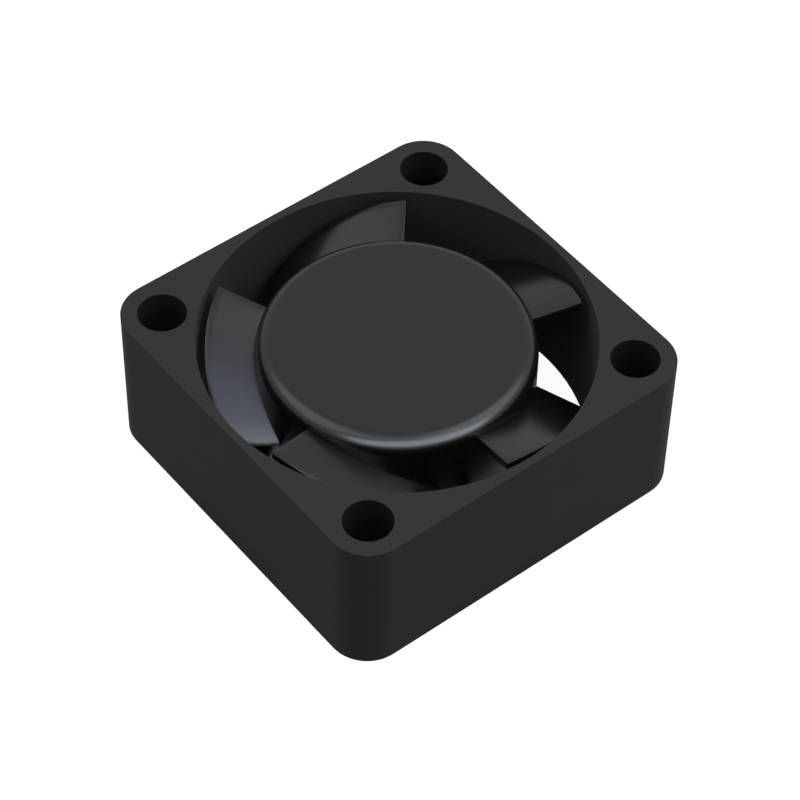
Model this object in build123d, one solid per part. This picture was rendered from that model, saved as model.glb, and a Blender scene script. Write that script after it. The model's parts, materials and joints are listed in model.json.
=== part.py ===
from build123d import *
from math import acos, asin, cos, degrees, hypot, radians, sin, sqrt, tan
import os

# A small axial cooling fan with a brushless motor and two ball bearings.
# The fan axis is Z. The frame stands on z = 0, the outlet side with the struts,
# and the hub faces up on the inlet side. All sizes are millimetres and degrees.

# Frame
FRAME_SIDE = 25.0
FRAME_HEIGHT = 10.0
CORNER_RADIUS = 2.5
THINNEST_WALL = 0.5
HOLE_INSET = 2.5
HOLE_DIAMETER = 3.0

# Motor base, the round plate in the middle of the outlet side
BASE_THICKNESS = 1.0
BASE_SETBACK = 0.15
BASE_RECESS_DEPTH = 0.15
BASE_RECESS_MARGIN = 0.5
RIM_WALL = 0.8
LEDGE_WIDTH = 0.4
LEDGE_HEIGHT = 0.4
BOSS_WALL = 0.85
BOSS_ABOVE_BOARD = 0.7
TUBE_SEAT_HEIGHT = 0.45
TUBE_SEAT_WIDTH = 0.3

# Struts
STRUT_COUNT = 3
FIRST_STRUT_ANGLE = 0.0
STRUT_WIDTH = 1.3
STRUT_CREST_WIDTH = 0.6
STRUT_CREST_RISE = 0.08
STRUT_HEIGHT = 1.7
STRUT_ROOT = 0.3
LEAD_STRUT = 1
LEAD_STRUT_WIDTH = 2.8
LEAD_STRUT_CREST_WIDTH = 2.2
LEAD_CHANNEL_WIDTH = 1.5
LEAD_CHANNEL_DEPTH = 1.0
LEAD_CHANNEL_INSET = 0.8
LEAD_HOOK_LENGTH = 0.8
LEAD_HOOK_THICKNESS = 0.35
LEAD_HOOK_REACH = 0.8

# Impeller
HUB_DIAMETER = 16.9
HUB_EDGE_RADIUS = 1.0
HUB_WALL = 0.7
HUB_TOP_THICKNESS = 0.6
HUB_SETBACK = 0.05
SKIRT_CLEARANCE = 0.3
BLADE_COUNT = 5
FIRST_BLADE_ANGLE = 67.0
BLADE_THICKNESS = 0.5
BLADE_LEAD_ANGLE = 25.0
BLADE_TRAIL_OFFSET = 4.42
BLADE_ENTRY_SLOPE = 10.0
BLADE_ROOT_DROP = 0.85
BLADE_TIP_DROP = 0.22
BLADE_TRAIL_DROP = 4.35
TIP_CLEARANCE = 0.5

# Rotor
YOKE_WALL = 0.45
YOKE_TOP_THICKNESS = 0.4
YOKE_EDGE_RADIUS = 0.35
YOKE_LIP = 0.1
MAGNET_THICKNESS = 0.8
MAGNET_TOP_ROOM = 1.25
COMPONENT_ROOM = 1.0
AIR_GAP = 0.3
SHAFT_DIAMETER = 1.5
SHAFT_TAIL = 0.25
SHAFT_CHAMFER = 0.1
BUSH_WALL = 0.45
BUSH_FLANGE_WIDTH = 1.0
BUSH_FLANGE_THICKNESS = 0.3
CLIP_THICKNESS = 0.2
CLIP_GROOVE_DEPTH = 0.2
CLIP_WIDTH = 0.6
CLIP_MOUTH = 0.7
WASHER_THICKNESS = 0.3
WASHER_WIDTH = 0.35

# Bearings
BEARING_DIAMETER = 4.0
BEARING_WIDTH = 2.0
BALL_DIAMETER = 0.65
BALL_COUNT = 7
GROOVE_DEPTH = 0.07
SHIELD_THICKNESS = 0.12
SHIELD_INSET = 0.04
SHIELD_SEAT = 0.17
SHIELD_GAP = 0.05
CAGE_GAP = 0.08
CAGE_FLOOR = 0.2
CAGE_CROWN = 0.15
TUBE_WALL = 0.5
TUBE_LIP = 0.4
TUBE_LEDGE_WIDTH = 0.3
CLIP_ROOM = 0.85
SPRING_HEIGHT = 0.7
SPRING_WIRE = 0.14
SPRING_TURNS = 2.5

# Stator
POLE_COUNT = 4
POLE_SPAN = 72.0
POLE_TAPER = 0.2
POLE_SHOE_THICKNESS = 0.7
POLE_NECK_WIDTH = 1.2
CORE_WALL = 0.85
LAMINATION_THICKNESS = 0.5
ROTOR_ROOM = 1.2
INSULATOR_HEIGHT = 1.0
INSULATOR_CAP = 0.3
INSULATOR_CHEEK = 0.2
INSULATOR_FLANGE = 0.3
COIL_THICKNESS = 0.9
COIL_EDGE_RADIUS = 0.5

# Circuit board and what it carries
BOARD_THICKNESS = 0.6
BOARD_CLEARANCE = 0.05
PIN_WIDTH = 0.3
PIN_TAIL = 0.35
PIN_GRIP = 0.5
PIN_HOLE_CLEARANCE = 0.06
PIN_CHIP_CLEARANCE = 0.15
LUG_WIDTH = 0.9
LUG_MARGIN = 0.4
SOLDER_HEIGHT = 0.28
SOLDER_RADIUS = 0.42
SOLDER_TIP_RADIUS = 0.24
CHIP_EDGE_MARGIN = 0.35
IC_SIZE = (1.5, 2.8, 0.45)
IC_LEAD_SIZE = (0.35, 0.4, 0.15)
IC_LEAD_PITCH = 0.95
CAPACITOR_SIZE = (0.8, 1.6, 0.6)
RESISTOR_SIZE = (0.8, 1.6, 0.45)
DIODE_SIZE = (1.2, 1.8, 0.65)

# Clearances
PRESS_GAP = 0.01
RUNNING_GAP = 0.03

# Radii worked out from the sizes above, from the axis outwards
shaft_radius = SHAFT_DIAMETER / 2
bush_radius = shaft_radius + PRESS_GAP + BUSH_WALL
bearing_bore_radius = shaft_radius + PRESS_GAP
bearing_radius = BEARING_DIAMETER / 2
ball_radius = BALL_DIAMETER / 2
ball_circle_radius = (bearing_bore_radius + bearing_radius) / 2
land_reach = ball_radius - GROOVE_DEPTH
inner_land_radius = ball_circle_radius - land_reach
outer_land_radius = ball_circle_radius + land_reach
tube_bore_radius = bearing_radius + PRESS_GAP
tube_radius = tube_bore_radius + TUBE_WALL
core_bore_radius = tube_radius + PRESS_GAP
core_radius = core_bore_radius + CORE_WALL
boss_radius = core_bore_radius + BOSS_WALL
hub_radius = HUB_DIAMETER / 2
hub_inner_radius = hub_radius - HUB_WALL
yoke_radius = hub_inner_radius - PRESS_GAP
magnet_radius = yoke_radius - YOKE_WALL - PRESS_GAP
magnet_bore_radius = magnet_radius - MAGNET_THICKNESS
stator_radius = magnet_bore_radius - AIR_GAP
shoe_inner_radius = stator_radius - POLE_SHOE_THICKNESS
base_radius = hub_radius - BASE_SETBACK
rim_inner_radius = base_radius - RIM_WALL
board_radius = rim_inner_radius - BOARD_CLEARANCE
bore_radius = FRAME_SIDE / 2 - THINNEST_WALL
tip_radius = bore_radius - TIP_CLEARANCE

# Heights worked out from the sizes above, from the outlet side up
board_bottom = BASE_THICKNESS + LEDGE_HEIGHT
board_top = board_bottom + BOARD_THICKNESS
boss_top = board_top + BOSS_ABOVE_BOARD
stack_bottom = boss_top + INSULATOR_HEIGHT
skirt_bottom = board_top + SKIRT_CLEARANCE
magnet_bottom = board_top + COMPONENT_ROOM
hub_top = FRAME_HEIGHT - HUB_SETBACK
hub_ceiling = hub_top - HUB_TOP_THICKNESS
yoke_ceiling = hub_ceiling - YOKE_TOP_THICKNESS
magnet_top = yoke_ceiling - MAGNET_TOP_ROOM
stack_room = yoke_ceiling - ROTOR_ROOM - INSULATOR_HEIGHT - stack_bottom
lamination_count = int(stack_room // LAMINATION_THICKNESS)
stack_height = lamination_count * LAMINATION_THICKNESS
stack_top = stack_bottom + stack_height
stack_middle = stack_bottom + stack_height / 2
lower_bearing_bottom = TUBE_SEAT_HEIGHT + CLIP_ROOM
lower_bearing_top = lower_bearing_bottom + BEARING_WIDTH
spring_top = yoke_ceiling - BUSH_FLANGE_THICKNESS - TUBE_LIP
upper_bearing_top = spring_top - SPRING_HEIGHT
upper_bearing_bottom = upper_bearing_top - BEARING_WIDTH
tube_top = upper_bearing_top + TUBE_LIP
washer_bottom = lower_bearing_bottom - WASHER_THICKNESS
clip_bottom = washer_bottom - CLIP_THICKNESS
shaft_bottom = clip_bottom - SHAFT_TAIL

# Plan sizes of the coils and of the pieces between the poles
coil_inner_x = core_radius + INSULATOR_FLANGE + PRESS_GAP
coil_half_width = POLE_NECK_WIDTH / 2 + INSULATOR_CHEEK + PRESS_GAP + COIL_THICKNESS
coil_half_height = stack_height / 2 + INSULATOR_CAP + PRESS_GAP + COIL_THICKNESS
coil_outer_x = sqrt(shoe_inner_radius**2 - coil_half_width**2) - PRESS_GAP
pin_circle_radius = (core_radius + shoe_inner_radius) / 2
pole_pitch = 360 / POLE_COUNT
slot_angles = [pole_pitch * (n + 0.5) for n in range(POLE_COUNT)]
ic_shift = IC_LEAD_PITCH + (IC_LEAD_SIZE[1] + PIN_WIDTH) / 2 + PIN_CHIP_CLEARANCE
ic_angle = slot_angles[0] - degrees(asin(ic_shift / pin_circle_radius))


def disc(radius, low, high):
    """A round plate between two heights."""
    return Pos(0, 0, low) * Cylinder(radius, high - low, align=(Align.CENTER, Align.CENTER, Align.MIN))


def ring(inner, outer, low, high):
    """A round plate with a hole, between two heights."""
    return disc(outer, low, high) - disc(inner, low, high)


def bar(x_low, x_high, width, low, high):
    """A straight bar along X, centred on Y."""
    size = (x_high - x_low, width, high - low)
    return Pos(x_low, 0, low) * Box(*size, align=(Align.MIN, Align.CENTER, Align.MIN))


def turned(*outline):
    """The solid that a closed outline of (radius, height) points turns about Z."""
    return revolve(Plane.XZ * make_face(Polyline(*outline, close=True)), Axis.Z)


def around(shape, angles):
    """Copies of a shape turned about Z."""
    return [Rot(0, 0, angle) * shape for angle in angles]


def evenly(count, first=0.0):
    """Angles spread evenly over a full turn."""
    return [first + 360 * n / count for n in range(count)]


def strut(width, crest_width):
    """One strut: a bar with a round-backed section, from the motor base into the frame wall."""
    flank_height = STRUT_HEIGHT / 2
    section = Polyline((-crest_width / 2, STRUT_HEIGHT), (-width / 2, flank_height), (-width / 2, 0),
                       (width / 2, 0), (width / 2, flank_height), (crest_width / 2, STRUT_HEIGHT))
    crest = ThreePointArc((-crest_width / 2, STRUT_HEIGHT), (0, STRUT_HEIGHT + STRUT_CREST_RISE),
                          (crest_width / 2, STRUT_HEIGHT))
    start = rim_inner_radius + RIM_WALL / 2
    end = bore_radius + STRUT_ROOT
    return extrude(Plane.YZ.offset(start) * make_face(section + crest), end - start)


def lead_channel():
    """The channel under the wide strut, from the board's edge out through the frame wall."""
    start = rim_inner_radius - LEAD_CHANNEL_INSET
    channel = bar(start, FRAME_SIDE, LEAD_CHANNEL_WIDTH, 0, LEAD_CHANNEL_DEPTH)
    return channel + bar(start, rim_inner_radius, LEAD_CHANNEL_WIDTH, 0, board_bottom)


def lead_hook():
    """A tab across the channel's mouth, halfway along the strut."""
    half = LEAD_HOOK_LENGTH / 2
    middle = (base_radius + bore_radius) / 2
    tab = bar(middle - half, middle + half, LEAD_HOOK_REACH, 0, LEAD_HOOK_THICKNESS)
    return Pos(0, (LEAD_CHANNEL_WIDTH - LEAD_HOOK_REACH) / 2, 0) * tab


def fan_frame():
    """The square frame, its bore and holes, and the motor base on three struts."""
    outline = RectangleRounded(FRAME_SIDE, FRAME_SIDE, CORNER_RADIUS)
    hole_spacing = FRAME_SIDE - 2 * HOLE_INSET
    holes = GridLocations(hole_spacing, hole_spacing, 2, 2) * Circle(HOLE_DIAMETER / 2)
    body = extrude(outline - Circle(bore_radius) - holes, FRAME_HEIGHT)
    strut_angles = evenly(STRUT_COUNT, FIRST_STRUT_ANGLE)
    lead_angle = strut_angles[LEAD_STRUT]
    for angle in strut_angles:
        wide = angle == lead_angle
        width = LEAD_STRUT_WIDTH if wide else STRUT_WIDTH
        crest_width = LEAD_STRUT_CREST_WIDTH if wide else STRUT_CREST_WIDTH
        body += Rot(0, 0, angle) * strut(width, crest_width)
    body += turned((tube_radius - TUBE_SEAT_WIDTH, 0), (base_radius, 0), (base_radius, board_top),
                   (rim_inner_radius, board_top), (rim_inner_radius, board_bottom),
                   (rim_inner_radius - LEDGE_WIDTH, board_bottom),
                   (rim_inner_radius - LEDGE_WIDTH, BASE_THICKNESS), (boss_radius, BASE_THICKNESS),
                   (boss_radius, boss_top), (core_bore_radius, boss_top),
                   (core_bore_radius, TUBE_SEAT_HEIGHT), (tube_radius - TUBE_SEAT_WIDTH, TUBE_SEAT_HEIGHT))
    body -= disc(base_radius - BASE_RECESS_MARGIN, 0, BASE_RECESS_DEPTH)
    body -= Rot(0, 0, lead_angle) * lead_channel()
    return body + Rot(0, 0, lead_angle) * lead_hook()


def bearing_tube():
    """The brass tube, with a ledge inside that both bearings seat against."""
    ledge_radius = tube_bore_radius - TUBE_LEDGE_WIDTH
    return turned((tube_bore_radius, TUBE_SEAT_HEIGHT), (tube_radius, TUBE_SEAT_HEIGHT),
                  (tube_radius, tube_top), (tube_bore_radius, tube_top),
                  (tube_bore_radius, upper_bearing_bottom), (ledge_radius, upper_bearing_bottom),
                  (ledge_radius, lower_bearing_top), (tube_bore_radius, lower_bearing_top))


def race_groove():
    """The ring-shaped space that the balls roll in."""
    section = Pos(ball_circle_radius, 0) * Circle(ball_radius + RUNNING_GAP)
    return revolve(Plane.XZ * section, Axis.Z)


def bearing(bottom):
    """The pieces of one ball bearing that stands on the given height."""
    half = BEARING_WIDTH / 2
    shield_face = half - SHIELD_INSET
    shield_back = shield_face - SHIELD_THICKNESS
    seat_radius = outer_land_radius + SHIELD_SEAT
    seat_back = shield_back - PRESS_GAP
    outer = ring(outer_land_radius, bearing_radius, -half, half) - race_groove()
    outer -= disc(seat_radius, seat_back, half) + disc(seat_radius, -half, -seat_back)
    inner = ring(bearing_bore_radius, inner_land_radius, -half, half) - race_groove()
    ball = Pos(ball_circle_radius, 0, 0) * Sphere(ball_radius)
    pocket = Pos(ball_circle_radius, 0, 0) * Sphere(ball_radius + RUNNING_GAP)
    angles = evenly(BALL_COUNT)
    cage_bottom = -ball_radius - CAGE_FLOOR
    cage = ring(inner_land_radius + CAGE_GAP, outer_land_radius - CAGE_GAP, cage_bottom, CAGE_CROWN)
    cage -= around(pocket, angles)
    shield = ring(inner_land_radius + SHIELD_GAP, seat_radius - PRESS_GAP, shield_back, shield_face)
    place = Pos(0, 0, bottom + half)
    return {
        "outer_ring": place * outer,
        "inner_ring": place * inner,
        "balls": [place * copy for copy in around(ball, angles)],
        "cage": place * cage,
        "shields": [place * shield, place * Rot(180, 0, 0) * shield],
    }


def preload_spring():
    """A short coil spring with ends ground flat, between the upper inner ring and the bush."""
    coil_radius = (bearing_bore_radius + inner_land_radius) / 2
    pitch = SPRING_HEIGHT / SPRING_TURNS
    line = Pos(0, 0, upper_bearing_top) * Helix(pitch, SPRING_HEIGHT, coil_radius)
    section = Plane(origin=line @ 0, z_dir=line % 0) * Circle(SPRING_WIRE / 2)
    return sweep(section, path=line) & disc(bearing_radius, upper_bearing_top, spring_top)


def shaft():
    """The shaft, with a groove for the clip and chamfered ends."""
    groove_radius = shaft_radius - CLIP_GROOVE_DEPTH
    tip = shaft_radius - SHAFT_CHAMFER
    return turned((0, shaft_bottom), (tip, shaft_bottom), (shaft_radius, shaft_bottom + SHAFT_CHAMFER),
                  (shaft_radius, clip_bottom - PRESS_GAP), (groove_radius, clip_bottom - PRESS_GAP),
                  (groove_radius, washer_bottom + PRESS_GAP), (shaft_radius, washer_bottom + PRESS_GAP),
                  (shaft_radius, hub_ceiling - SHAFT_CHAMFER), (tip, hub_ceiling), (0, hub_ceiling))


def shaft_bush():
    """The flanged brass bush that fixes the shaft in the yoke and the hub."""
    flange_radius = bush_radius + BUSH_FLANGE_WIDTH
    flange_bottom = yoke_ceiling - BUSH_FLANGE_THICKNESS
    return turned((bearing_bore_radius, spring_top), (bush_radius, spring_top), (bush_radius, flange_bottom),
                  (flange_radius, flange_bottom), (flange_radius, yoke_ceiling), (bush_radius, yoke_ceiling),
                  (bush_radius, hub_ceiling), (bearing_bore_radius, hub_ceiling))


def retaining_clip():
    """The split clip in the shaft's groove."""
    inner = shaft_radius - CLIP_GROOVE_DEPTH + PRESS_GAP
    outer = inner + CLIP_WIDTH
    mouth = bar(0, outer + CLIP_WIDTH, CLIP_MOUTH, clip_bottom, washer_bottom)
    return ring(inner, outer, clip_bottom, washer_bottom) - mouth


def spacer_washer():
    """The washer between the clip and the lower inner ring."""
    inner = bearing_bore_radius
    return ring(inner, inner + WASHER_WIDTH, washer_bottom, lower_bearing_bottom)


def rotor_yoke():
    """The drawn steel cup that closes the magnet's field, with a rounded shoulder."""
    inner = yoke_radius - YOKE_WALL
    bottom = magnet_bottom - YOKE_LIP
    shoulder = YOKE_EDGE_RADIUS
    outline = Polyline((yoke_radius, hub_ceiling - shoulder), (yoke_radius, bottom), (inner, bottom),
                       (inner, yoke_ceiling), (bush_radius + PRESS_GAP, yoke_ceiling),
                       (bush_radius + PRESS_GAP, hub_ceiling), (yoke_radius - shoulder, hub_ceiling))
    bend = CenterArc((yoke_radius - shoulder, hub_ceiling - shoulder), shoulder, 0, 90)
    return revolve(Plane.XZ * make_face(outline + bend), Axis.Z)


def rotor_magnet():
    """The ring magnet inside the yoke."""
    return ring(magnet_bore_radius, magnet_radius, magnet_bottom, magnet_top)


def blade_section(distance):
    """The blade's section in a plane square to its middle line, at a distance from the axis.

    The upper surface is an arc that leaves the leading edge at a shallow slope and steepens
    down to the trailing edge, where the blade is cut off level. The lower surface is the same
    arc, one blade thickness below.
    """
    slope = radians(BLADE_ENTRY_SLOPE)
    lead_radius = distance / cos(radians(BLADE_LEAD_ANGLE))
    along_blade = (lead_radius - hub_radius) / (tip_radius - hub_radius)
    lead_drop = BLADE_ROOT_DROP + (BLADE_TIP_DROP - BLADE_ROOT_DROP) * along_blade
    lead_y, lead_z = -distance * tan(radians(BLADE_LEAD_ANGLE)), FRAME_HEIGHT - lead_drop
    trail_y, trail_z = BLADE_TRAIL_OFFSET, FRAME_HEIGHT - BLADE_TRAIL_DROP
    run, fall = trail_y - lead_y, lead_z - trail_z
    bend = (fall * cos(slope) - run * sin(slope)) / hypot(run, fall)
    radius = hypot(run, fall) / (2 * bend)
    centre_y, centre_z = lead_y - radius * sin(slope), lead_z - radius * cos(slope)

    def surface(arc_radius):
        """The arc of one surface, from the leading edge down to the level cut."""
        last = acos((trail_z - centre_z) / arc_radius)
        turns = (slope, (slope + last) / 2, last)
        across = [centre_y + arc_radius * sin(turn) for turn in turns]
        up = [centre_z + arc_radius * cos(turn) for turn in turns]
        return ThreePointArc(*zip(across, up))

    upper, under = surface(radius), surface(radius - BLADE_THICKNESS)
    edges = upper + Line(upper @ 1, under @ 1) + under + Line(under @ 0, upper @ 0)
    return Plane.YZ.offset(distance) * make_face(edges)


def impeller():
    """The hub cup with its rounded top edge, and the blades around it."""
    edge = HUB_EDGE_RADIUS
    outline = Polyline((hub_radius, hub_top - edge), (hub_radius, skirt_bottom),
                       (hub_inner_radius, skirt_bottom), (hub_inner_radius, hub_ceiling), (0, hub_ceiling),
                       (0, hub_top), (hub_radius - edge, hub_top))
    rounding = CenterArc((hub_radius - edge, hub_top - edge), edge, 0, 90)
    hub = revolve(Plane.XZ * make_face(outline + rounding), Axis.Z)
    root_radius = hub_radius - HUB_WALL / 2
    innermost = sqrt(root_radius**2 - BLADE_TRAIL_OFFSET**2) - HUB_WALL
    blade = loft([blade_section(innermost), blade_section(tip_radius)], ruled=True)
    blade &= ring(root_radius, tip_radius, 0, FRAME_HEIGHT)
    first = FIRST_BLADE_ANGLE + BLADE_LEAD_ANGLE
    for copy in around(blade, evenly(BLADE_COUNT, first)):
        hub += copy
    return hub


def pole_sheet():
    """The outline of one lamination: a core ring and four T-shaped poles.

    Each pole's face draws back towards one end, so that the rotor never stops where
    the motor can't start.
    """
    half_span = radians(POLE_SPAN / 2)
    reaches = (stator_radius, stator_radius - POLE_TAPER / 4, stator_radius - POLE_TAPER)
    turns = (-half_span, 0, half_span)
    face = ThreePointArc(*[(r * cos(t), r * sin(t)) for r, t in zip(reaches, turns)])
    back = ThreePointArc(*[(shoe_inner_radius * cos(t), shoe_inner_radius * sin(t)) for t in turns])
    shoe = make_face(face + Line(face @ 1, back @ 1) + back + Line(back @ 0, face @ 0))
    neck_length = shoe_inner_radius - core_bore_radius
    neck = Pos(core_bore_radius + neck_length / 2, 0) * Rectangle(neck_length, POLE_NECK_WIDTH)
    sheet = Circle(core_radius)
    for pole in around(shoe + neck, evenly(POLE_COUNT)):
        sheet += pole
    return sheet - Circle(core_bore_radius)


def stator_laminations():
    """The stack of identical steel sheets."""
    sheet = extrude(pole_sheet(), LAMINATION_THICKNESS)
    return [Pos(0, 0, stack_bottom + n * LAMINATION_THICKNESS) * sheet for n in range(lamination_count)]


def insulator():
    """The coil former on one side of the stack, drawn with the stack's face on z = 0, above it."""
    half = POLE_NECK_WIDTH / 2
    body = ring(core_bore_radius, core_radius + INSULATOR_FLANGE, 0, INSULATOR_HEIGHT)
    flange_x = coil_outer_x + PRESS_GAP
    cap = bar(core_radius, flange_x, POLE_NECK_WIDTH + 2 * INSULATOR_CHEEK, 0, INSULATOR_CAP)
    flange = bar(flange_x, flange_x + INSULATOR_FLANGE, 2 * coil_half_width, 0, INSULATOR_HEIGHT)
    flange = flange & disc(stator_radius - POLE_TAPER, 0, INSULATOR_HEIGHT)
    cheek = bar(core_radius, flange_x, INSULATOR_CHEEK - PRESS_GAP, -stack_height / 2, 0)
    cheek &= ring(core_radius + PRESS_GAP, shoe_inner_radius - PRESS_GAP, -stack_height / 2, 0)
    cheek_y = half + (INSULATOR_CHEEK + PRESS_GAP) / 2
    arm = cap + flange + Pos(0, cheek_y, 0) * cheek + Pos(0, -cheek_y, 0) * cheek
    for copy in around(arm, evenly(POLE_COUNT)):
        body += copy
    return body


def lower_insulator():
    """The lower coil former, which stands on the boss and holds the terminal pins."""
    body = Pos(0, 0, stack_bottom) * Rot(180, 0, 0) * insulator()
    pin_top = stack_bottom - INSULATOR_CAP
    lug = bar(core_radius, pin_circle_radius + LUG_MARGIN, LUG_WIDTH, pin_top - PIN_GRIP, stack_bottom)
    for copy in around(lug, slot_angles):
        body += copy
    half = PIN_WIDTH / 2 + PRESS_GAP
    socket = Pos(pin_circle_radius, 0, 0) * bar(-half, half, 2 * half, 0, pin_top)
    return body - around(socket, slot_angles)


def upper_insulator():
    """The upper coil former."""
    return Pos(0, 0, stack_top) * insulator()


def coil():
    """One winding, a rounded loop round the neck of the pole on +X."""
    width, height = 2 * coil_half_width, 2 * coil_half_height
    outline = RectangleRounded(width, height, COIL_EDGE_RADIUS)
    outline -= Rectangle(width - 2 * COIL_THICKNESS, height - 2 * COIL_THICKNESS)
    return Pos(coil_inner_x, 0, stack_middle) * extrude(Plane.YZ * outline, coil_outer_x - coil_inner_x)


def circuit_board():
    """The round driver board, with a hole for each terminal pin."""
    board = ring(boss_radius + BOARD_CLEARANCE, board_radius, board_bottom, board_top)
    hole_radius = hypot(PIN_WIDTH, PIN_WIDTH) / 2 + PIN_HOLE_CLEARANCE
    hole = Pos(pin_circle_radius, 0, 0) * disc(hole_radius, board_bottom, board_top)
    return board - around(hole, slot_angles)


def terminal_pin():
    """A square pin from the lower insulator down through the board."""
    tip = board_bottom - PIN_TAIL
    pin = bar(-PIN_WIDTH / 2, PIN_WIDTH / 2, PIN_WIDTH, tip, stack_bottom - INSULATOR_CAP)
    return Pos(pin_circle_radius, 0, 0) * pin


def solder_joint():
    """The cone of solder round a pin under the board."""
    hanging = (Align.CENTER, Align.CENTER, Align.MAX)
    cone = Cone(SOLDER_TIP_RADIUS, SOLDER_RADIUS, SOLDER_HEIGHT, align=hanging)
    return Pos(pin_circle_radius, 0, board_bottom) * cone - terminal_pin()


def chip(size, angle):
    """A block on the board near its edge, its long side square to the radius."""
    radial, tangential, height = size
    outer = board_radius - CHIP_EDGE_MARGIN
    return Rot(0, 0, angle) * bar(outer - radial, outer, tangential, board_top, board_top + height)


def driver_ic(angle):
    """The driver chip's body, inside the margin by the length of its outer leads."""
    return Rot(0, 0, angle) * Pos(-IC_LEAD_SIZE[0], 0, 0) * chip(IC_SIZE, 0)


def ic_leads(angle):
    """Three short leads on each long side of the driver chip."""
    inward = Pos(-IC_SIZE[0] - IC_LEAD_SIZE[0], 0, 0)
    sides = [chip(IC_LEAD_SIZE, 0), inward * chip(IC_LEAD_SIZE, 0)]
    steps = [-IC_LEAD_PITCH, 0, IC_LEAD_PITCH]
    return [Rot(0, 0, angle) * Pos(0, step, 0) * side for step in steps for side in sides]


os.makedirs("parts", exist_ok=True)

nodes = {
    "fan_frame": fan_frame(),
    "impeller": impeller(),
    "rotor_yoke": rotor_yoke(),
    "rotor_magnet": rotor_magnet(),
    "shaft": shaft(),
    "shaft_bush": shaft_bush(),
    "preload_spring": preload_spring(),
    "spacer_washer": spacer_washer(),
    "retaining_clip": retaining_clip(),
    "bearing_tube": bearing_tube(),
    "stator_laminations": stator_laminations(),
    "lower_insulator": lower_insulator(),
    "upper_insulator": upper_insulator(),
    "circuit_board": circuit_board(),
    "hall_driver_ic": driver_ic(ic_angle),
    "hall_driver_ic_leads": ic_leads(ic_angle),
    "chip_capacitor": chip(CAPACITOR_SIZE, slot_angles[1]),
    "chip_resistor": chip(RESISTOR_SIZE, slot_angles[2]),
    "chip_diode": chip(DIODE_SIZE, slot_angles[3]),
    "terminal_pins": around(terminal_pin(), slot_angles),
    "solder_joints": around(solder_joint(), slot_angles),
}
for place, bottom in (("lower", lower_bearing_bottom), ("upper", upper_bearing_bottom)):
    for piece, shape in bearing(bottom).items():
        nodes[f"{place}_bearing_{piece}"] = shape
for number, shape in enumerate(around(coil(), evenly(POLE_COUNT)), start=1):
    nodes[f"coil_{number}"] = shape

for name, shape in nodes.items():
    solids = shape if isinstance(shape, list) else [shape]
    export_step(Compound(solids), f"parts/{name}.step")
    print(name, "solids", len(solids), "volume", round(sum(solid.volume for solid in solids), 4))
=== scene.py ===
# %% [markdown]
# # A small cooling fan
# The real object is a 25 mm axial fan: a square moulded frame, a moulded impeller that turns
# in its bore, and a small brushless motor inside the hub. The solids already have every size
# and joint, so this lesson only dresses them. First it loads them as a fixed frame and notes
# the box that they fill, because nothing added here may stand outside it.

# %% Load the solids
import json
from math import acos, cos, hypot, pi, radians, sin, sqrt, tan

import bmesh
import bpy
from mathutils import Matrix, Vector


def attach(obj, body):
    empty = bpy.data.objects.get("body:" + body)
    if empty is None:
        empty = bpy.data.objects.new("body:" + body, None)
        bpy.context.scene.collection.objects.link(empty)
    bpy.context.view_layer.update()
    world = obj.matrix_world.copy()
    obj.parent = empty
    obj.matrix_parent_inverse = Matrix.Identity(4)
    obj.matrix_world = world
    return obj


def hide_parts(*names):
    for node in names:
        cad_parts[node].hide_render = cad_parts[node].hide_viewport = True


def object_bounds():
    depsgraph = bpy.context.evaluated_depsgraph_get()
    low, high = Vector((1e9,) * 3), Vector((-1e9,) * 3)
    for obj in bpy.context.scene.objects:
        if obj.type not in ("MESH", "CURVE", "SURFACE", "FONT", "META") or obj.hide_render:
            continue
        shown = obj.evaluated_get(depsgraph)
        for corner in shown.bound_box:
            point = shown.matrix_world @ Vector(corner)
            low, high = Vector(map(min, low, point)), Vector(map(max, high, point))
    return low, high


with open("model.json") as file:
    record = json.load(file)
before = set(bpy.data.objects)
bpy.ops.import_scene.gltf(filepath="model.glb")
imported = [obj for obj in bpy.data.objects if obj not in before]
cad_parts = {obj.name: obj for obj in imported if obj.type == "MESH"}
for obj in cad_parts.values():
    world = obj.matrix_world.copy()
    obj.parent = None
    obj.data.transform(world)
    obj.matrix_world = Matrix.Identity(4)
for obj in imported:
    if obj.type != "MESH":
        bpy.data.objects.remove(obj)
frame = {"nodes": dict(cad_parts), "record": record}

MM = 0.001
nodes = frame["nodes"]
solid_box = [list(corner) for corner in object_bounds()]
print("solids:", len(nodes), "box in mm:", [[round(x / MM, 3) for x in corner] for corner in solid_box])

# %% [markdown]
# ## Sums in node trees
# The world, the materials and both geometry trees below do sums with sockets. One helper adds
# the node for a sum, so that each formula still reads as a formula.

# %% A helper for sums
def calculate(tree, operation, *terms):
    """The result of one math node, whose terms are sockets or plain numbers."""
    node = tree.nodes.new("ShaderNodeMath")
    node.operation = operation
    for socket, term in zip(node.inputs, terms):
        if isinstance(term, (int, float)):
            socket.default_value = term
        else:
            tree.links.new(term, socket)
    return node.outputs[0]


print("node helper:", calculate.__name__)

# %% [markdown]
# ## The camera
# The photograph looks down at one corner of the frame. The camera could be placed by eye, but
# the four holes, the bore and the outline give enough points to fit it: azimuth, elevation,
# roll, distance and focal length. The lens is long, so the lines hardly converge.

# %% Camera
AZIMUTH, ELEVATION, ROLL = radians(50.6837), radians(49.1771), radians(1.3151)
DISTANCE, SIDEWAYS, UPWARDS = 186.4242 * MM, 0.2981 * MM, 2.7189 * MM
FOCAL_PIXELS, PICTURE_PIXELS = 3014.109, 800

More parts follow.
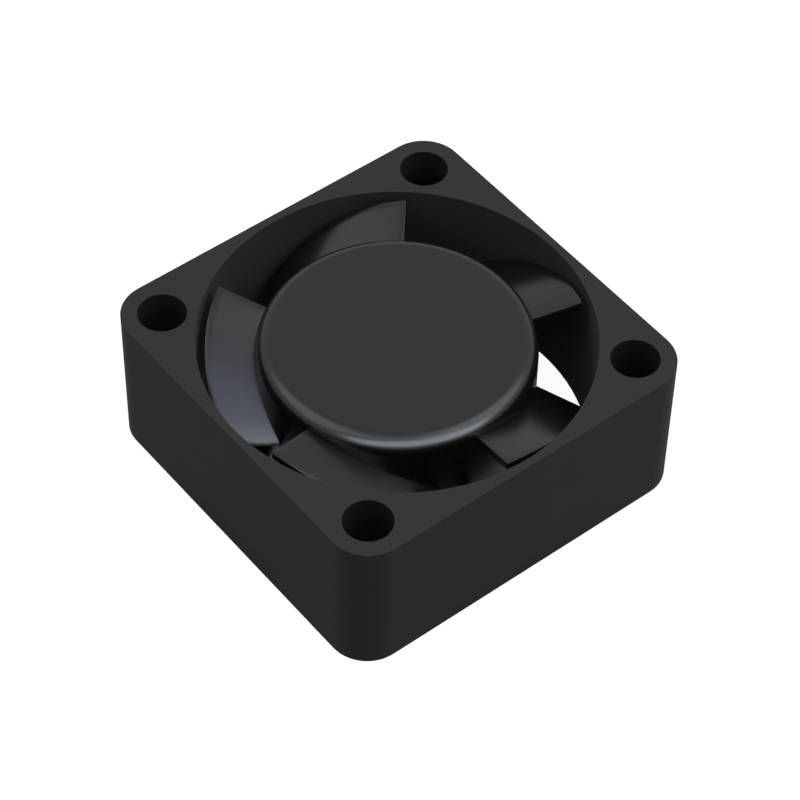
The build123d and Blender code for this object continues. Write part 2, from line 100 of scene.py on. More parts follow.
back = Vector((sin(AZIMUTH) * cos(ELEVATION), -cos(AZIMUTH) * cos(ELEVATION), sin(ELEVATION)))
level_right = Vector((cos(AZIMUTH), sin(AZIMUTH), 0))
level_up = back.cross(level_right)
right = cos(ROLL) * level_right + sin(ROLL) * level_up
up = cos(ROLL) * level_up - sin(ROLL) * level_right

camera_data = bpy.data.cameras.new("camera")
camera_data.sensor_width = 36
camera_data.lens = FOCAL_PIXELS / PICTURE_PIXELS * camera_data.sensor_width
camera_data.clip_start, camera_data.clip_end = 0.01, 10
camera = bpy.data.objects.new("camera", camera_data)
turn = Matrix((right, up, back)).transposed().to_4x4()
camera.matrix_world = Matrix.Translation(back * DISTANCE + right * SIDEWAYS + up * UPWARDS) @ turn
bpy.context.scene.collection.objects.link(camera)
bpy.context.scene.camera = camera
bpy.context.scene.view_settings.view_transform = "Standard"
print("camera lens:", round(camera_data.lens, 2), "mm at", round(DISTANCE / MM, 1), "mm")

# %% [markdown]
# ## The light
# The photograph has soft studio light: the faces that look up are brighter than the sides, the
# bore falls off to nearly black, and the rounded edge of the hub shows a long highlight. A
# bright world alone would flatten that. So three soft lamps high above give the light, at a
# level at which a colour renders about as it is written. Black plastic shows mostly what it
# mirrors, so a long panel and a small bluish one on the camera's side are there for reflections
# alone. What the camera, a mirror or a glass sees of the world is plain white.

# %% World and lamps
LAMP_DISTANCE = 0.5


def light_path_mask(tree, lit=None):
    """1 for camera, glossy and transmission rays, so that all of them meet the same white.

    Where lit is less than 1, glossy and transmission rays meet only that share of it.
    """
    path = tree.nodes.new("ShaderNodeLightPath")
    seen = path.outputs["Is Camera Ray"]
    for ray in ("Is Glossy Ray", "Is Transmission Ray"):
        met = calculate(tree, "MULTIPLY", path.outputs[ray], lit) if lit else path.outputs[ray]
        seen = calculate(tree, "MAXIMUM", seen, met)
    return seen


def area_lamp(name, azimuth, elevation, size, radiance, colour, lights_surfaces=True):
    """A rectangular lamp that looks at the fan from the given direction, in degrees.

    Its size is in metres, and its power follows from that and from how bright it looks.
    """
    data = bpy.data.lights.new(name, "AREA")
    data.shape, data.color = "RECTANGLE", colour
    data.size, data.size_y = size
    data.energy = pi * data.size * data.size_y * radiance
    lamp = bpy.data.objects.new(name, data)
    turn_z, turn_y = radians(azimuth), radians(elevation)
    away = Vector((cos(turn_z) * cos(turn_y), sin(turn_z) * cos(turn_y), sin(turn_y)))
    turn = away.to_track_quat("Z", "Y").to_matrix().to_4x4()
    lamp.matrix_world = Matrix.Translation(away * LAMP_DISTANCE) @ turn
    lamp.visible_diffuse = lights_surfaces
    bpy.context.scene.collection.objects.link(lamp)


world = bpy.data.worlds.new("studio")
world.use_nodes = True
bpy.context.scene.world = world
tree = world.node_tree
fill = tree.nodes["Background"]
fill.inputs["Color"].default_value = (0.93, 0.97, 1.0, 1)
fill.inputs["Strength"].default_value = 0.12
white = tree.nodes.new("ShaderNodeBackground")
white.inputs["Color"].default_value = (1, 1, 1, 1)
white.inputs["Strength"].default_value = 1
choice = tree.nodes.new("ShaderNodeMixShader")
tree.links.new(light_path_mask(tree), choice.inputs["Fac"])
tree.links.new(fill.outputs[0], choice.inputs[1])
tree.links.new(white.outputs[0], choice.inputs[2])
tree.links.new(choice.outputs[0], tree.nodes["World Output"].inputs["Surface"])

area_lamp("overhead_lamp", 20, 75, (0.4, 0.4), 0.5, (1, 1, 1))
area_lamp("right_lamp", 48, 54, (0.45, 0.45), 2.6, (1, 1, 1))
area_lamp("left_lamp", -128, 56, (0.4, 0.4), 2.1, (1, 1, 1))
area_lamp("long_panel", -22, 43, (0.9, 0.30), 7, (0.95, 0.98, 1), lights_surfaces=False)
area_lamp("blue_panel", -42, 68, (0.22, 0.22), 1.9, (0.62, 0.58, 1), lights_surfaces=False)

# %% [markdown]
# ## The floor
# The catalogue picture has a pure white ground. Lighting a real floor up to white would also flood the fan,
# so the floor adds its own white for what the camera and reflections see, and keeps a share of plain diffuse
# colour that still takes the fan's soft shadow. Less light gets under the fan than around it, so there the
# reflections meet only a share of that white, which is a painted shadow.

# %% Floor
FLOOR_HALF = 1.5
SHADED_SHARE, SHADE_FADES_AT = 0.4, 1.2


def painted_floor_shadow(tree, inner, outer, share_inside):
    """A painted shadow: a share of the light inside one radius about the fan's axis, rising to 1 at another.
    """
    place = tree.nodes.new("ShaderNodeTexCoord")
    reach = tree.nodes.new("ShaderNodeVectorMath")
    reach.operation = "LENGTH"
    tree.links.new(place.outputs["Object"], reach.inputs[0])
    share = tree.nodes.new("ShaderNodeMapRange")
    share.inputs["From Min"].default_value = inner
    share.inputs["From Max"].default_value = outer
    share.inputs["To Min"].default_value = share_inside
    tree.links.new(reach.outputs["Value"], share.inputs["Value"])
    return share.outputs["Result"]


def white_floor(name, half, shaded_radius):
    """A square floor at z = 0 that looks white and keeps a soft shadow."""
    mesh = bpy.data.meshes.new(name)
    corners = [(-half, -half, 0), (half, -half, 0), (half, half, 0), (-half, half, 0)]
    mesh.from_pydata(corners, [], [(0, 1, 2, 3)])
    floor = bpy.data.objects.new(name, mesh)
    bpy.context.scene.collection.objects.link(floor)
    material = bpy.data.materials.new(name)
    material.use_nodes = True
    tree = material.node_tree
    tree.nodes.clear()
    bounce = tree.nodes.new("ShaderNodeBsdfDiffuse")
    bounce.inputs["Color"].default_value = (0.2, 0.2, 0.2, 1)
    glow = tree.nodes.new("ShaderNodeEmission")
    glow.inputs["Color"].default_value = (1, 1, 1, 1)
    glow.inputs["Strength"].default_value = 0.95
    both = tree.nodes.new("ShaderNodeAddShader")
    tree.links.new(bounce.outputs[0], both.inputs[0])
    tree.links.new(glow.outputs[0], both.inputs[1])
    choice = tree.nodes.new("ShaderNodeMixShader")
    # Under the fan the reflections meet a dimmer white: a painted shadow.
    lit = painted_floor_shadow(tree, shaded_radius, SHADE_FADES_AT * shaded_radius, SHADED_SHARE)
    tree.links.new(light_path_mask(tree, lit), choice.inputs["Fac"])
    tree.links.new(bounce.outputs[0], choice.inputs[1])
    tree.links.new(both.outputs[0], choice.inputs[2])
    output = tree.nodes.new("ShaderNodeOutputMaterial")
    tree.links.new(choice.outputs[0], output.inputs["Surface"])
    mesh.materials.append(material)
    return floor


floor = white_floor("floor", FLOOR_HALF, solid_box[1][0])
print("floor is", round(floor.dimensions.x, 2), "m wide")

# %% [markdown]
# ## Materials
# Every finish here is procedural: noise in the object's own coordinates gives the colour a
# slight unevenness, changes the roughness from place to place, and raises a fine grain.
# A single recipe serves all the plain finishes, and each material only chooses its numbers.

# %% A recipe for plain finishes
def principled(name):
    """A new material with its node tree and its main shader."""
    material = bpy.data.materials.new(name)
    material.use_nodes = True
    return material, material.node_tree, material.node_tree.nodes["Principled BSDF"]


def object_coordinates(tree, stretch=(1, 1, 1)):
    """The object's own coordinates, stretched for patterns that are longer one way."""
    place = tree.nodes.new("ShaderNodeTexCoord")
    mapping = tree.nodes.new("ShaderNodeMapping")
    mapping.inputs["Scale"].default_value = stretch
    tree.links.new(place.outputs["Object"], mapping.inputs["Vector"])
    return mapping.outputs["Vector"]


def noise(tree, vector, size, detail=2.0):
    """Noise whose blotches are about as wide as the given size in metres."""
    texture = tree.nodes.new("ShaderNodeTexNoise")
    texture.inputs["Scale"].default_value = 1 / size
    texture.inputs["Detail"].default_value = detail
    tree.links.new(vector, texture.inputs["Vector"])
    return texture.outputs["Fac"]


def blend_colours(tree, share, first, second):
    """A colour between two others."""
    mix = tree.nodes.new("ShaderNodeMix")
    mix.data_type = "RGBA"
    mix.inputs["A"].default_value = (*first, 1)
    mix.inputs["B"].default_value = (*second, 1)
    tree.links.new(share, mix.inputs["Factor"])
    return mix.outputs["Result"]


def spread(tree, value, low, high):
    """The middle half of a noise, stretched over a range."""
    ranged = tree.nodes.new("ShaderNodeMapRange")
    ranged.inputs["From Min"].default_value = 0.25
    ranged.inputs["From Max"].default_value = 0.75
    ranged.inputs["To Min"].default_value = low
    ranged.inputs["To Max"].default_value = high
    tree.links.new(value, ranged.inputs["Value"])
    return ranged.outputs["Result"]


def raise_grain(tree, shader, height, depth):
    """A bump of the given depth in metres on a shader."""
    bump = tree.nodes.new("ShaderNodeBump")
    bump.inputs["Distance"].default_value = depth
    bump.inputs["Strength"].default_value = 1
    tree.links.new(height, bump.inputs["Height"])
    tree.links.new(bump.outputs["Normal"], shader.inputs["Normal"])


def plain_finish(name, colours, roughness, grain, metallic=0.0, specular=0.5, tint=(1, 1, 1), patch=1.5,
                 stretch=(1, 1, 1)):
    """A material with uneven colour and roughness and a fine grain.

    grain is the width and the depth of the grain in millimetres, and patch the width of the
    uneven places.
    """
    material, tree, shader = principled(name)
    vector = object_coordinates(tree, stretch)
    broad = noise(tree, vector, patch * MM)
    fine = noise(tree, vector, grain[0] * MM, 3)
    tree.links.new(blend_colours(tree, spread(tree, broad, 0, 1), *colours), shader.inputs["Base Color"])
    tree.links.new(spread(tree, fine, *roughness), shader.inputs["Roughness"])
    shader.inputs["Metallic"].default_value = metallic
    shader.inputs["Specular IOR Level"].default_value = specular
    shader.inputs["Specular Tint"].default_value = (*tint, 1)
    raise_grain(tree, shader, fine, grain[1] * MM)
    return material


def seams(material, first, spacing, share, darkness):
    """Dark level lines on a material, as where stacked sheets meet; lengths in millimetres."""
    tree, shader = material.node_tree, material.node_tree.nodes["Principled BSDF"]
    place = tree.nodes.new("ShaderNodeSeparateXYZ")
    tree.links.new(object_coordinates(tree), place.inputs[0])
    height = calculate(tree, "SUBTRACT", place.outputs["Z"], first * MM)
    sheets = calculate(tree, "DIVIDE", height, spacing * MM)
    within_sheet = calculate(tree, "FRACT", calculate(tree, "ADD", sheets, share / 2))
    line = calculate(tree, "LESS_THAN", within_sheet, share)
    mix = tree.nodes.new("ShaderNodeMix")
    mix.data_type = "RGBA"
    mix.inputs["B"].default_value = (0.02, 0.02, 0.022, 1)
    tree.links.new(calculate(tree, "MULTIPLY", line, darkness), mix.inputs["Factor"])
    tree.links.new(shader.inputs["Base Color"].links[0].from_socket, mix.inputs["A"])
    tree.links.new(mix.outputs["Result"], shader.inputs["Base Color"])


print("recipes: plain finishes and seams")

# %% [markdown]
# ## Black plastics
# Frame and impeller are moulded in black glass-filled plastic. The frame's mould has a fine
# spark-eroded texture, so it is matte, and so is the flat face of the hub. The rest of the
# impeller's mould is smoother, so the hub's rounded edge and the blades can catch the light.
# The walls of the screw holes get a darker, matte black, which is painted shade: it makes those deep holes
# look almost black.

# %% Black plastics
MATTE_BLACK = ((0.0310, 0.0330, 0.0350), (0.0338, 0.0360, 0.0382))
# The darker black paints the shade into the walls of the screw holes.
HOLE_SHADE_BLACK = ((0.0085, 0.0090, 0.0096), (0.0105, 0.0112, 0.0120))
SMOOTH_BLACK = ((0.0042, 0.0045, 0.0050), (0.0052, 0.0055, 0.0060))
MATTE_TINT, SMOOTH_TINT = (0.9, 0.96, 1), (0.88, 0.95, 1)

frame_plastic = plain_finish("frame_plastic", MATTE_BLACK, (0.74, 0.82), (0.11, 0.0012), specular=0.06,
                             tint=MATTE_TINT, patch=4)
# This finish paints shade into the screw holes.
hole_shade_plastic = plain_finish("hole_shade_plastic", HOLE_SHADE_BLACK, (0.66, 0.76), (0.09, 0.0006), specular=0.06,
                                 tint=MATTE_TINT, patch=2)
impeller_plastic = plain_finish("impeller_plastic", SMOOTH_BLACK, (0.23, 0.28), (0.14, 0.0004), specular=0.35,
                                tint=SMOOTH_TINT, patch=4)
hub_face_plastic = plain_finish("hub_face_plastic", MATTE_BLACK, (0.72, 0.80), (0.11, 0.0010), specular=0.06,
                                tint=MATTE_TINT, patch=4)
black_plastics = (frame_plastic, hole_shade_plastic, impeller_plastic, hub_face_plastic)
print("black plastics:", [material.name for material in black_plastics])

# %% [markdown]
# ## Metals, ceramics and the rest of the motor
# Turned brass and ground steel have rings or scratches too fine to see one by one, so a
# stretched grain stands for them. Stamped steel is duller, and tin and solder are soft and
# bright. The coils are enamelled copper: a metal under a thin clear coat.

# %% Motor finishes
STACK_BOTTOM, SHEET_THICKNESS = 3.7, 0.5
SEAM_SHARE, SEAM_DARKNESS = 0.1, 0.8
ENAMEL_COAT = 0.6

finishes = {
    "yoke_steel": plain_finish("yoke_steel", ((0.50, 0.51, 0.52), (0.60, 0.61, 0.62)), (0.30, 0.45),
                               (0.08, 0.001), metallic=1, stretch=(1, 1, 0.15)),
    "ferrite": plain_finish("ferrite", ((0.030, 0.030, 0.033), (0.055, 0.053, 0.055)), (0.55, 0.75),
                            (0.06, 0.002)),
    "shaft_steel": plain_finish("shaft_steel", ((0.62, 0.63, 0.64), (0.72, 0.73, 0.74)), (0.12, 0.22),
                                (0.05, 0.0004), metallic=1, stretch=(0.2, 0.2, 1)),
    "bush_brass": plain_finish("bush_brass", ((0.66, 0.46, 0.18), (0.76, 0.57, 0.27)), (0.22, 0.36),
                               (0.06, 0.0006), metallic=1, stretch=(0.25, 0.25, 1)),
    "tube_brass": plain_finish("tube_brass", ((0.64, 0.45, 0.18), (0.75, 0.57, 0.28)), (0.25, 0.40),
                               (0.06, 0.0006), metallic=1, stretch=(0.25, 0.25, 1)),
    "spring_steel": plain_finish("spring_steel", ((0.45, 0.45, 0.46), (0.60, 0.60, 0.61)), (0.28, 0.40),
                                 (0.04, 0.0005), metallic=1),
    "clip_steel": plain_finish("clip_steel", ((0.24, 0.25, 0.27), (0.36, 0.37, 0.39)), (0.32, 0.48),
                               (0.05, 0.0008), metallic=1),
    "washer_nylon": plain_finish("washer_nylon", ((0.66, 0.63, 0.55), (0.74, 0.71, 0.64)), (0.45, 0.60),
                                 (0.08, 0.001)),
    "bearing_steel": plain_finish("bearing_steel", ((0.58, 0.59, 0.61), (0.68, 0.69, 0.71)), (0.14, 0.26),
                                  (0.05, 0.0004), metallic=1, stretch=(0.2, 0.2, 1)),
    "ball_steel": plain_finish("ball_steel", ((0.70, 0.71, 0.73), (0.76, 0.77, 0.79)), (0.05, 0.12),
                               (0.05, 0.0002), metallic=1),
    "cage_steel": plain_finish("cage_steel", ((0.42, 0.41, 0.38), (0.54, 0.52, 0.48)), (0.35, 0.50),
                               (0.06, 0.001), metallic=1),
    "shield_steel": plain_finish("shield_steel", ((0.52, 0.53, 0.54), (0.63, 0.64, 0.65)), (0.26, 0.40),
                                 (0.05, 0.0006), metallic=1),
    "lamination_steel": plain_finish("lamination_steel", ((0.30, 0.31, 0.33), (0.44, 0.45, 0.47)),
                                     (0.38, 0.60), (0.05, 0.0015), metallic=1, stretch=(1, 1, 0.2)),
    "insulator_plastic": plain_finish("insulator_plastic", ((0.70, 0.68, 0.60), (0.78, 0.76, 0.69)),
                                      (0.42, 0.56), (0.09, 0.001)),
    "chip_plastic": plain_finish("chip_plastic", ((0.020, 0.020, 0.022), (0.032, 0.032, 0.034)), (0.50, 0.66),
                                 (0.05, 0.0015)),
    "chip_ceramic": plain_finish("chip_ceramic", ((0.44, 0.31, 0.19), (0.56, 0.42, 0.28)), (0.40, 0.58),
                                 (0.05, 0.001)),
    "resistor_ceramic": plain_finish("resistor_ceramic", ((0.035, 0.035, 0.040), (0.06, 0.06, 0.065)),
                                     (0.28, 0.42), (0.06, 0.0008)),
    "tinned_metal": plain_finish("tinned_metal", ((0.62, 0.63, 0.64), (0.72, 0.73, 0.74)), (0.28, 0.42),
                                 (0.05, 0.0008), metallic=1),
    "solder": plain_finish("solder", ((0.60, 0.61, 0.62), (0.72, 0.73, 0.74)), (0.18, 0.34), (0.10, 0.0012),
                           metallic=1, patch=0.4),
    "winding_wire": plain_finish("winding_wire", ((0.60, 0.22, 0.08), (0.75, 0.32, 0.13)), (0.25, 0.38),
                                 (0.10, 0.0005), metallic=1, patch=0.7),
    "board_laminate": plain_finish("board_laminate", ((0.008, 0.075, 0.030), (0.014, 0.11, 0.045)),
                                   (0.28, 0.40), (0.12, 0.0012), patch=0.8),
    "frame_plastic": frame_plastic,
    "impeller_plastic": impeller_plastic,
}
wire_shader = finishes["winding_wire"].node_tree.nodes["Principled BSDF"]
wire_shader.inputs["Coat Weight"].default_value = ENAMEL_COAT
seams(finishes["lamination_steel"], STACK_BOTTOM, SHEET_THICKNESS, SEAM_SHARE, SEAM_DARKNESS)
print("finishes:", len(finishes))

# %% Put the finishes on the solids
for row in frame["record"]["subparts"]:
    mesh = nodes[row["node"]].data
    for index in range(len(mesh.materials)):
        mesh.materials[index] = finishes[row["material_slot"]]

# %% [markdown]
# ## Mesh helpers
# Three helpers make every piece below. One turns a closed outline about the axis, one tidies a
# mesh and turns its faces outwards, and one hands a finished piece to its body.

# %% Mesh helpers
MERGE_DISTANCE = 0.0005 * MM


def tidy_mesh(mesh, smooth_angle=30):
    """Merge doubles, turn the faces outwards and shade smooth, with creases left sharp."""
    shape = bmesh.new()
    shape.from_mesh(mesh)
    bmesh.ops.remove_doubles(shape, verts=shape.verts, dist=MERGE_DISTANCE)
    bmesh.ops.recalc_face_normals(shape, faces=shape.faces)
    open_edges = sum(not edge.is_manifold for edge in shape.edges)
    shape.to_mesh(mesh)
    shape.free()
    mesh.shade_smooth()
    mesh.set_sharp_from_angle(angle=radians(smooth_angle))
    return open_edges


def turned_mesh(name, outline, steps):
    """The mesh that a closed outline of (radius, height) in millimetres turns about Z."""
    points, rows = [], []
    for radius, height in outline:
        count = steps if radius > 0 else 1
        rows.append([len(points) + n for n in range(count)])
        for n in range(count):
            angle = 2 * pi * n / steps
            points.append((radius * cos(angle) * MM, radius * sin(angle) * MM, height * MM))
    faces = []
    for low, high in zip(rows, rows[1:] + rows[:1]):
        for n in range(steps):
            corners = [low[n % len(low)], low[(n + 1) % len(low)],
                       high[(n + 1) % len(high)], high[n % len(high)]]
            corners = list(dict.fromkeys(corners))
            if len(corners) > 2:
                faces.append(corners)
    mesh = bpy.data.meshes.new(name)
    mesh.from_pydata(points, [], faces)
    return mesh


def rounded(corner, radius, first, last, steps):
    """Points of an arc about a centre, in degrees."""
    angles = [radians(first + (last - first) * n / steps) for n in range(steps + 1)]
    return [(corner[0] + radius * cos(angle), corner[1] + radius * sin(angle)) for angle in angles]


def hand_over(name, mesh, material, body, slot, *stands_for):
    """Put a finished piece on its body, in place of the solids that it stands for."""
    mesh.materials.clear()
    mesh.materials.append(material)
    piece = bpy.data.objects.new(name, mesh)
    bpy.context.scene.collection.objects.link(piece)
    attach(piece, body)
    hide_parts(*stands_for)


print("mesh helpers ready")

# %% [markdown]
# ## Copies around the axis
# The impeller repeats one blade and the board repeats one solder joint. A small node tree does
# both: it puts a point at the axis for each copy, turns each by its share of a circle, and sets
# an instance of the incoming shape there. Realize Instances makes real faces of them.

# %% A node tree that copies a shape around the axis
def ring_tree():
    """Geometry nodes: Count copies of the incoming shape, the first one turned by First Angle."""
    tree = bpy.data.node_groups.new("copies_around_axis", "GeometryNodeTree")
    interface = tree.interface
    interface.new_socket("Geometry", in_out="INPUT", socket_type="NodeSocketGeometry")
    interface.new_socket("Count", in_out="INPUT", socket_type="NodeSocketInt")
    interface.new_socket("First Angle", in_out="INPUT", socket_type="NodeSocketFloat")
    interface.new_socket("Material", in_out="INPUT", socket_type="NodeSocketMaterial")
    interface.new_socket("Geometry", in_out="OUTPUT", socket_type="NodeSocketGeometry")
    add, link = tree.nodes.new, tree.links.new
    given, result = add("NodeGroupInput"), add("NodeGroupOutput")
    points = add("GeometryNodeMeshLine")
    points.inputs["Offset"].default_value = (0, 0, 0)
    link(given.outputs["Count"], points.inputs["Count"])
    index = add("GeometryNodeInputIndex").outputs[0]
    step = calculate(tree, "DIVIDE", 2 * pi, given.outputs["Count"])
    turn = add("ShaderNodeCombineXYZ")
    link(calculate(tree, "MULTIPLY_ADD", index, step, given.outputs["First Angle"]), turn.inputs["Z"])
    copies = add("GeometryNodeInstanceOnPoints")
    link(points.outputs["Mesh"], copies.inputs["Points"])
    link(given.outputs["Geometry"], copies.inputs["Instance"])
    link(turn.outputs[0], copies.inputs["Rotation"])
    real = add("GeometryNodeRealizeInstances")
    link(copies.outputs[0], real.inputs[0])
    paint = add("GeometryNodeSetMaterial")
    link(real.outputs[0], paint.inputs["Geometry"])
    link(given.outputs["Material"], paint.inputs["Material"])
    link(paint.outputs[0], result.inputs[0])
    return tree


def inputs_of(tree):
    """The input sockets of a node tree."""
    return [item for item in tree.interface.items_tree if item.in_out == "INPUT"]


def grown(name, start, tree, modifiers=(), **inputs):
    """The plain mesh that a node tree makes from a starting mesh, after any other modifiers."""
    piece = bpy.data.objects.new(name, start)
    bpy.context.scene.collection.objects.link(piece)
    for kind, settings in modifiers:
        modifier = piece.modifiers.new(kind.lower(), kind)
        for key, value in settings.items():
            setattr(modifier, key, value)
    growth = piece.modifiers.new(tree.name, "NODES")
    growth.node_group = tree
    sockets = {item.name: item.identifier for item in inputs_of(tree)}
    for key, value in inputs.items():
        growth[sockets[key.replace("_", " ")]] = value
    evaluated = piece.evaluated_get(bpy.context.evaluated_depsgraph_get())
    mesh = bpy.data.meshes.new_from_object(evaluated)
    bpy.data.objects.remove(piece)
    mesh.name = name
    return mesh


copies_around_axis = ring_tree()
print("tree inputs:", [item.name for item in inputs_of(copies_around_axis)])

# %% [markdown]
# ## The impeller's blades
# Each blade is a thin curved sheet. In a cut square to its middle line its upper face is an
# arc that leaves the leading edge nearly level and steepens towards the trailing edge, where
# it is cut off level. The form follows a rule, so the points come from that rule: a cut near
# the hub and a cut at the tip, straight lines between them, and rings of points at chosen
# distances from the axis. The rounded edges are a Bevel, and the node tree makes five of one.

# %% One blade
HUB_RADIUS, HUB_TOP, HUB_EDGE, HUB_WALL = 8.45, 9.95, 1.0, 0.7
BLADE_TIP, BLADE_THICKNESS, BLADE_COUNT = 11.5, 0.5, 5
FACE_HEIGHT = 10.0
LEAD_ANGLE, ENTRY_SLOPE = radians(25), radians(10)
TRAIL_OFFSET, TRAIL_DROP = 4.42, 4.35
ROOT_DROP, TIP_DROP = 0.85, 0.22
FIRST_BLADE = radians(92)
ROOT_SUNK = 0.3
RING_COUNT, HALVINGS = 8, 40


def blade_cut(distance, count):
    """Points (across, height) round a blade's section, in millimetres."""
    along = (distance / cos(LEAD_ANGLE) - HUB_RADIUS) / (BLADE_TIP - HUB_RADIUS)
    lead_y = -distance * tan(LEAD_ANGLE)
    lead_z = FACE_HEIGHT - (ROOT_DROP + (TIP_DROP - ROOT_DROP) * along)
    trail_z = FACE_HEIGHT - TRAIL_DROP
    run, fall = TRAIL_OFFSET - lead_y, lead_z - trail_z
    bend = (fall * cos(ENTRY_SLOPE) - run * sin(ENTRY_SLOPE)) / hypot(run, fall)
    radius = hypot(run, fall) / (2 * bend)
    centre_y, centre_z = lead_y - radius * sin(ENTRY_SLOPE), lead_z - radius * cos(ENTRY_SLOPE)
    points = []
    for side, arc in ((1, radius), (-1, radius - BLADE_THICKNESS)):
        last = acos((trail_z - centre_z) / arc)
        for n in range(count)[::side]:
            slope = ENTRY_SLOPE + (last - ENTRY_SLOPE) * n / (count - 1)
            points.append((centre_y + arc * sin(slope), centre_z + arc * cos(slope)))
    return points


def blade_mesh(name, count=24):
    """One closed blade along +X, from inside the hub wall to the tip.

    Each line from cut to cut is halved until it gives the point at a ring's distance.
    """
    inner = sqrt((HUB_RADIUS - HUB_WALL / 2) ** 2 - TRAIL_OFFSET**2) - HUB_WALL
    near, far = blade_cut(inner, count), blade_cut(BLADE_TIP, count)
    root = HUB_RADIUS - ROOT_SUNK
    reaches = [root + (BLADE_TIP - root) * n / (RING_COUNT - 1) for n in range(RING_COUNT)]
    points, faces, size = [], [], 2 * count
    for reach in reaches:
        for (y0, z0), (y1, z1) in zip(near, far):
            low, high = 0.0, 1.0
            for _ in range(HALVINGS):
                share = (low + high) / 2
                x, y = inner + (BLADE_TIP - inner) * share, y0 + (y1 - y0) * share
                low, high = (share, high) if hypot(x, y) < reach else (low, share)
            points.append(Vector((x, y, z0 + (z1 - z0) * share)) * MM)
    for row in range(RING_COUNT - 1):
        for n in range(size):
            m = (n + 1) % size
            faces.append((row * size + n, row * size + m, (row + 1) * size + m, (row + 1) * size + n))
    for row in (0, RING_COUNT - 1):
        for n in range(count - 1):
            first = row * size
            faces.append((first + n, first + n + 1, first + size - 2 - n, first + size - 1 - n))
    mesh = bpy.data.meshes.new(name)
    mesh.from_pydata(points, [], faces)
    print(name, "faces:", len(faces), "open edges:", tidy_mesh(mesh))
    return mesh


soft_edge = ("BEVEL", {"width": 0.04 * MM, "segments": 2, "limit_method": "ANGLE",
                       "angle_limit": radians(50)})
blades = grown("blades", blade_mesh("blade"), copies_around_axis, [soft_edge], Count=BLADE_COUNT,
               First_Angle=FIRST_BLADE, Material=impeller_plastic)
print("blades: faces", len(blades.polygons))

# %% [markdown]
# ## The hub
# The hub is a cup with a rounded top edge, the one place of the fan that catches the lamp. A
# coarse arc would break the highlight into flats, so the outline has sixteen steps round that
# edge before it is turned about the axis. A short step at each end of a long flat part keeps
# the smooth shading of the round part off it. The blades are then joined to the hub, because
# the real impeller is a single moulding, and its flat face gets the textured plastic.

# %% The hub, joined with the blades
HUB_CEILING, CEILING_RING, SKIRT_BOTTOM, SKIRT_EDGE = 9.35, 4.5, 2.3, 0.12
SHORT_STEP = 0.04

cup = [(HUB_RADIUS, HUB_TOP - HUB_EDGE - SHORT_STEP)]
cup += rounded((HUB_RADIUS - HUB_EDGE, HUB_TOP - HUB_EDGE), HUB_EDGE, 0, 90, 16)
cup += [(HUB_RADIUS - HUB_EDGE - SHORT_STEP, HUB_TOP), (0, HUB_TOP), (0, HUB_CEILING)]
cup += [(CEILING_RING, HUB_CEILING), (HUB_RADIUS - HUB_WALL, HUB_CEILING)]
cup.append((HUB_RADIUS - HUB_WALL, SKIRT_BOTTOM))
cup += rounded((HUB_RADIUS - SKIRT_EDGE, SKIRT_BOTTOM + SKIRT_EDGE), SKIRT_EDGE, 270, 360, 4)
cup.append((HUB_RADIUS, SKIRT_BOTTOM + SKIRT_EDGE + SHORT_STEP))
hub = turned_mesh("hub", cup, 144)
print("hub: open edges", tidy_mesh(hub))

joined = bmesh.new()
joined.from_mesh(hub)
joined.from_mesh(blades)
impeller_mesh = bpy.data.meshes.new("moulded_impeller")
joined.to_mesh(impeller_mesh)
joined.free()
impeller_mesh.shade_smooth()
impeller_mesh.set_sharp_from_angle(angle=radians(35))
hand_over("moulded_impeller", impeller_mesh, impeller_plastic, "rotor", "impeller_plastic", "impeller")

impeller_mesh.materials.append(hub_face_plastic)
flat_height = (HUB_TOP - 0.001) * MM
corners = impeller_mesh.vertices
textured = [face for face in impeller_mesh.polygons
            if face.normal.z > 0.999 and min(corners[v].co.z for v in face.vertices) > flat_height]
for face in textured:
    face.material_index = 1
print("moulded_impeller: faces", len(impeller_mesh.polygons), "textured:", len(textured))

# %% [markdown]
# ## The frame
# The solid's form is right, but its edges are knife-sharp, and no moulding has such edges. The
# piece starts as a merged copy of the solid. Its flat faces are made whole again, and a Bevel
# rounds every edge by a tenth of a millimetre, which is just enough to soften the outline.
# The walls of the four screw holes are found by their place, and get the finish of their own, whose darker
# black is painted shade.

# %% The frame with softened edges
FRAME_EDGE = 0.1
HOLE_PLACE, HOLE_RADIUS = 10.0, 1.5


def softened_copy(name, node, width, segments=2):
    """A mesh like a solid's, with its sharp edges rounded by a width in millimetres."""
    source = nodes[node].data
    mesh = bpy.data.meshes.new(name)
    mesh.from_pydata([v.co for v in source.vertices], [], [list(p.vertices) for p in source.polygons])
    shape = bmesh.new()
    shape.from_mesh(mesh)
    bmesh.ops.remove_doubles(shape, verts=shape.verts, dist=MERGE_DISTANCE)
    bmesh.ops.dissolve_limit(shape, angle_limit=radians(0.3), verts=shape.verts, edges=shape.edges)
    shape.to_mesh(mesh)
    shape.free()
    mesh.shade_smooth()
    piece = bpy.data.objects.new(name, mesh)
    bpy.context.scene.collection.objects.link(piece)
    bevel = piece.modifiers.new("edges", "BEVEL")
    bevel.width, bevel.segments = width * MM, segments
    bevel.limit_method, bevel.angle_limit = "ANGLE", radians(35)
    bevel.harden_normals = True
    made = bpy.data.meshes.new_from_object(piece.evaluated_get(bpy.context.evaluated_depsgraph_get()))
    bpy.data.objects.remove(piece)
    made.name = name
    return made


def is_hole_wall(face):
    """Whether a face stands upright in one of the four screw holes."""
    beside = hypot(abs(face.center.x) / MM - HOLE_PLACE, abs(face.center.y) / MM - HOLE_PLACE)
    return beside < HOLE_RADIUS and abs(face.normal.z) < 0.1


frame_mesh = softened_copy("moulded_frame", "fan_frame", FRAME_EDGE)
hand_over("moulded_frame", frame_mesh, frame_plastic, "frame", "frame_plastic", "fan_frame")

